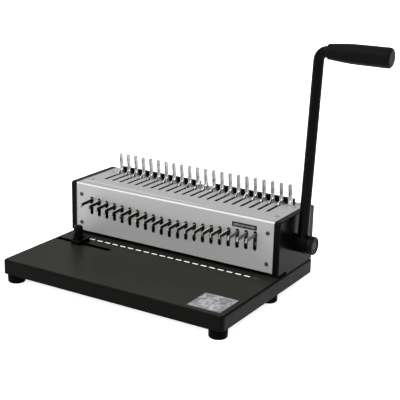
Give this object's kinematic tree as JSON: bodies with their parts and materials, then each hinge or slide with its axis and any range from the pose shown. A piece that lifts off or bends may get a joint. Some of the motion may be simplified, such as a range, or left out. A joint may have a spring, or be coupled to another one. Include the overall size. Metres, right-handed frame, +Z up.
{
  "type": "manual comb binding machine",
  "caption": "Desktop punch and comb opener: black tray on rubber feet, silver cover with a vee row of punch tabs, comb hooks and fixed tines, and a tall side lever with a rubber grip.",
  "frame": {"origin": "on the table, under the middle of the machine's overall box", "axes": "+X along the row of slots towards the lever, +Y from the operator to the back, +Z up"},
  "size_m": [0.484, 0.268, 0.363],
  "materials": {
    "deck_paint": "satin black enamel",
    "panel_silver": "satin silver",
    "black_plastic": "fine-grained matte black",
    "grip_rubber": "matte black",
    "foot_rubber": "matte black",
    "lever_paint": "semi-gloss black enamel",
    "black_steel": "black oxide, oiled",
    "hook_steel": "blackened flanks, bright edges",
    "zinc_screw": "dull zinc-plated",
    "bright_steel": "bright zinc-plated",
    "tool_steel": "oiled grey",
    "frame_steel": "dull zinc-plated",
    "mark_white": "bright inlay",
    "foil_silver": "satin foil, blank",
    "plate_black": "semi-gloss, blank",
    "bronze": "sintered bronze"
  },
  "bodies": {
    "housing": {"bar_guides": "black_plastic", "base_tray": "deck_paint", "bottom_plate": "deck_paint", "carriage_rails": "black_plastic", "cover_screws": "zinc_screw", "deck_foil": "foil_silver", "deck_screws": "zinc_screw", "die_plate": "black_steel", "die_screws": "zinc_screw", "end_cap_left": "black_plastic", "end_cap_right": "black_plastic", "end_cap_screws": "zinc_screw", "foot_screws": "zinc_screw", "front_top_cover": "panel_silver", "guide_posts": "tool_steel", "middle_bracket": "bright_steel", "panel_plate": "plate_black", "paper_stop": "black_steel", "rear_cover": "panel_silver", "rest_pins": "frame_steel", "return_spring": "tool_steel", "rubber_feet": "foot_rubber", "shaft_bushes": "bronze", "side_frame_left": "frame_steel", "side_frame_right": "frame_steel", "sight_marks": "mark_white", "stop_bar_left": "black_plastic", "stop_bar_right": "black_plastic", "stop_bar_screws": "zinc_screw", "stripper_plate": "black_steel", "tie_rods": "frame_steel", "tine_carrier": "frame_steel", "tines": "bright_steel"},
    "lever": {"main_shaft": "tool_steel", "retaining_ring": "tool_steel", "bell_crank_left": "frame_steel", "bell_crank_right": "frame_steel", "crank_pins": "tool_steel", "spring_collar": "frame_steel", "lever_hub": "black_plastic", "grub_screw": "tool_steel", "lever_arm": "lever_paint", "lever_grip": "grip_rubber", "hub_cap": "black_plastic", "hub_cap_screw": "tool_steel"},
    "punch_carriage": {"punch_bar": "black_steel", "punches": "tool_steel", "pin_tabs": "hook_steel", "tab_bar": "black_steel", "drive_ears": "black_steel"},
    "top_hook_carriage": {"top_hooks": "hook_steel", "hook_carriage": "black_steel", "carriage_forks": "black_steel"},
    "side_guide": {"side_guide": "black_plastic", "guide_nut": "zinc_screw"},
    "guide_knob": {"guide_knob": "black_plastic"},
    "chip_tray": {"chip_tray": "black_plastic"}
  },
  "joints": [
    {"name": "lever_swing", "type": "hinge", "parent": "housing", "child": "lever", "pos_m": [-0.05545, 0.073, 0.0767], "axis": [1, 0, 0], "range_deg": [0, 75], "stiffness_Nm_per_rad": 1.2, "springref_deg": -8.59},
    {"name": "punch_stroke", "type": "slide", "parent": "housing", "child": "punch_carriage", "axis": [0, 0, -1], "range_m": [0, 0.0184]},
    {"name": "top_hook_travel", "type": "slide", "parent": "housing", "child": "top_hook_carriage", "axis": [0, -1, 0], "range_m": [0, 0.0301]},
    {"name": "guide_slide", "type": "slide", "parent": "housing", "child": "side_guide", "axis": [1, 0, 0], "range_m": [-0.033, 0.05]},
    {"name": "guide_knob_turn", "type": "hinge", "parent": "side_guide", "child": "guide_knob", "pos_m": [-0.19595, -0.014, 0.0452], "axis": [0, 0, 1], "range_deg": [0, 540]},
    {"name": "chip_tray_pull", "type": "slide", "parent": "housing", "child": "chip_tray", "axis": [-1, 0, 0], "range_m": [0, 0.25]}
  ],
  "couplings": [
    {"joint": "punch_stroke", "follows": "lever_swing", "m_per_rad": 0.01395},
    {"joint": "top_hook_travel", "follows": "lever_swing", "m_per_rad": 0.02288}
  ]
}
